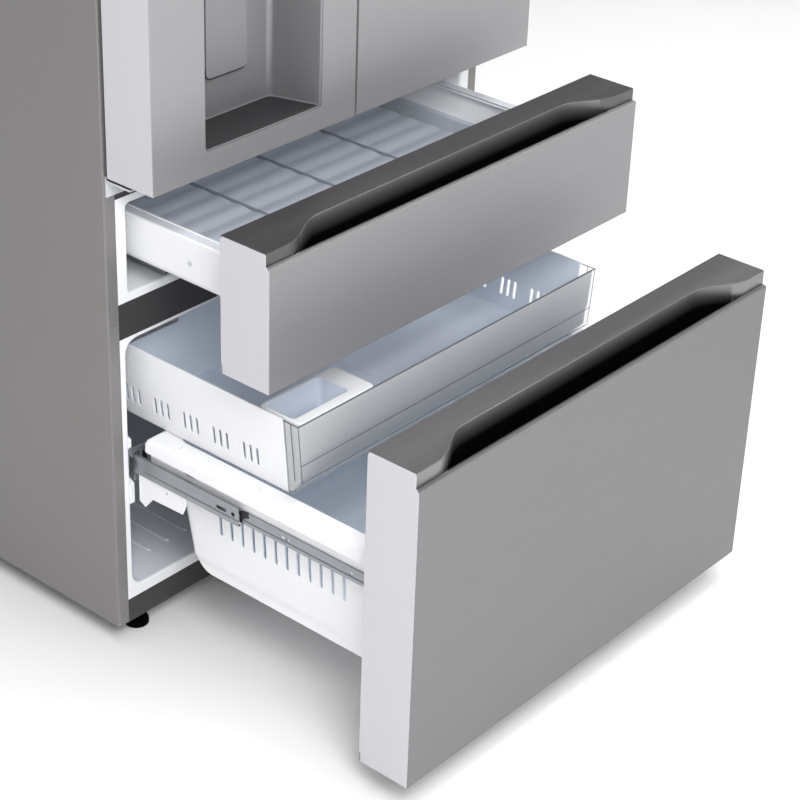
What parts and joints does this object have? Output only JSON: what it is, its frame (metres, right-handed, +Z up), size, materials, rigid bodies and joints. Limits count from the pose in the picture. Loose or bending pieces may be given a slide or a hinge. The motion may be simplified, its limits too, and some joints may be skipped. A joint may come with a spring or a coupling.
{
  "type": "french door refrigerator",
  "caption": "Free-standing refrigerator with two hinged doors, a door dispenser, a middle drawer and a bottom freezer drawer with an upper basket, shown with the drawers pulled out.",
  "frame": {"origin": "middle of the bounding box's underside, on the floor, with the drawers out as modelled", "axes": "+Z up, the doors and drawers face -Y, +X to the right of someone facing them"},
  "size_m": [0.908, 1.4072, 1.784],
  "materials": {
    "case_paint": "satin warm grey enamel",
    "galvanised": "bare zinc-coated sheet",
    "dark_trim": "moulded dark grey",
    "stainless": "brushed with a smudge-resistant coat",
    "cap_metal": "metallic grey moulding",
    "white_plastic": "glossy moulded white",
    "clear_plastic": "clear moulded",
    "shelf_glass": "tempered",
    "silver_plastic": "silver moulded",
    "black_plastic": "fine grained black",
    "zinc_steel": "bright zinc plate",
    "compressor_black": "black paint"
  },
  "bodies": {
    "cabinet": {"case_wrapper": "case_paint", "case_back": "galvanised", "machine_cover": "dark_trim", "case_base": "galvanised", "base_cover": "dark_trim", "lower_divider": "dark_trim", "upper_divider": "dark_trim", "freezer_liner": "white_plastic", "middle_liner": "white_plastic", "fresh_food_liner": "white_plastic", "compressor": "compressor_black", "air_duct": "silver_plastic", "upper_shelf": "shelf_glass", "lower_shelf": "shelf_glass", "crisper_cover": "shelf_glass", "left_foot": "black_plastic", "right_foot": "black_plastic", "left_upper_hinge": "zinc_steel", "right_upper_hinge": "zinc_steel", "left_hinge_cover": "dark_trim", "right_hinge_cover": "dark_trim", "left_lower_hinge": "zinc_steel", "right_lower_hinge": "zinc_steel", "left_freezer_rail": "zinc_steel", "right_freezer_rail": "zinc_steel", "left_middle_rail": "zinc_steel", "right_middle_rail": "zinc_steel"},
    "left_door": {"left_door_pan": "stainless", "left_door_panel": "white_plastic", "dispenser_housing": "silver_plastic", "left_door_bin": "clear_plastic", "ice_room": "white_plastic"},
    "paddle": {"dispenser_paddle": "silver_plastic"},
    "ice_door": {"ice_room_door": "white_plastic"},
    "mullion": {"mullion_flap": "silver_plastic"},
    "right_door": {"right_door_pan": "stainless", "right_door_panel": "white_plastic", "right_door_lower_bin": "clear_plastic", "right_door_upper_bin": "clear_plastic"},
    "middle_drawer": {"middle_drawer_pan": "stainless", "middle_drawer_cap": "cap_metal", "middle_drawer_panel": "white_plastic", "middle_tray": "white_plastic", "left_middle_runner": "zinc_steel", "right_middle_runner": "zinc_steel"},
    "freezer_drawer": {"freezer_drawer_pan": "stainless", "freezer_drawer_cap": "cap_metal", "freezer_drawer_panel": "white_plastic", "freezer_tub": "white_plastic", "left_freezer_runner": "zinc_steel", "right_freezer_runner": "zinc_steel"},
    "freezer_slides": {"left_freezer_slide": "zinc_steel", "right_freezer_slide": "zinc_steel"},
    "basket": {"basket_tub": "white_plastic", "basket_window": "clear_plastic", "basket_insert": "clear_plastic"},
    "left_crisper": {"left_crisper": "clear_plastic"},
    "right_crisper": {"right_crisper": "clear_plastic"},
    "left_roller": {"left_roller": "black_plastic"},
    "right_roller": {"right_roller": "black_plastic"}
  },
  "joints": [
    {"name": "left_door_hinge", "type": "hinge", "parent": "cabinet", "child": "left_door", "pos_m": [-0.432, -0.0943, 1.315], "axis": [0, 0, -1], "range_deg": [0, 115]},
    {"name": "right_door_hinge", "type": "hinge", "parent": "cabinet", "child": "right_door", "pos_m": [0.432, -0.0943, 1.315], "axis": [0, 0, 1], "range_deg": [0, 115]},
    {"name": "middle_drawer_slide", "type": "slide", "parent": "cabinet", "child": "middle_drawer", "axis": [0, -1, 0], "range_m": [-0.2403, 0.12]},
    {"name": "freezer_drawer_slide", "type": "slide", "parent": "cabinet", "child": "freezer_drawer", "axis": [0, -1, 0], "range_m": [-0.5373, 0.043]},
    {"name": "freezer_slide_travel", "type": "slide", "parent": "cabinet", "child": "freezer_slides", "axis": [0, -1, 0], "range_m": [-0.269, 0.022]},
    {"name": "basket_slide", "type": "slide", "parent": "cabinet", "child": "basket", "axis": [0, -1, 0], "range_m": [-0.3475, 0.028]},
    {"name": "paddle_hinge", "type": "hinge", "parent": "left_door", "child": "paddle", "pos_m": [-0.222, -0.0889, 1.16], "axis": [1, 0, 0], "range_deg": [0, 1.5], "stiffness_Nm_per_rad": 1},
    {"name": "ice_door_hinge", "type": "hinge", "parent": "left_door", "child": "ice_door", "pos_m": [-0.382, 0.0456, 1.51], "axis": [0, 0, 1], "range_deg": [0, 15]},
    {"name": "mullion_hinge", "type": "hinge", "parent": "left_door", "child": "mullion", "pos_m": [-0.032, -0.0504, 1.3], "axis": [0, 0, -1], "range_deg": [0, 90]},
    {"name": "left_crisper_slide", "type": "slide", "parent": "cabinet", "child": "left_crisper", "axis": [0, -1, 0], "range_m": [0, 0.05]},
    {"name": "right_crisper_slide", "type": "slide", "parent": "cabinet", "child": "right_crisper", "axis": [0, -1, 0], "range_m": [0, 0.05]},
    {"name": "left_roller_axle", "type": "hinge", "parent": "cabinet", "child": "left_roller", "pos_m": [-0.4, 0.6446, 0.017], "axis": [1, 0, 0], "continuous": true},
    {"name": "right_roller_axle", "type": "hinge", "parent": "cabinet", "child": "right_roller", "pos_m": [0.4, 0.6446, 0.017], "axis": [1, 0, 0], "continuous": true}
  ],
  "couplings": [
    {"joint": "freezer_slide_travel", "follows": "freezer_drawer_slide", "ratio": 0.5},
    {"joint": "basket_slide", "follows": "freezer_drawer_slide", "ratio": 0.6462}
  ]
}
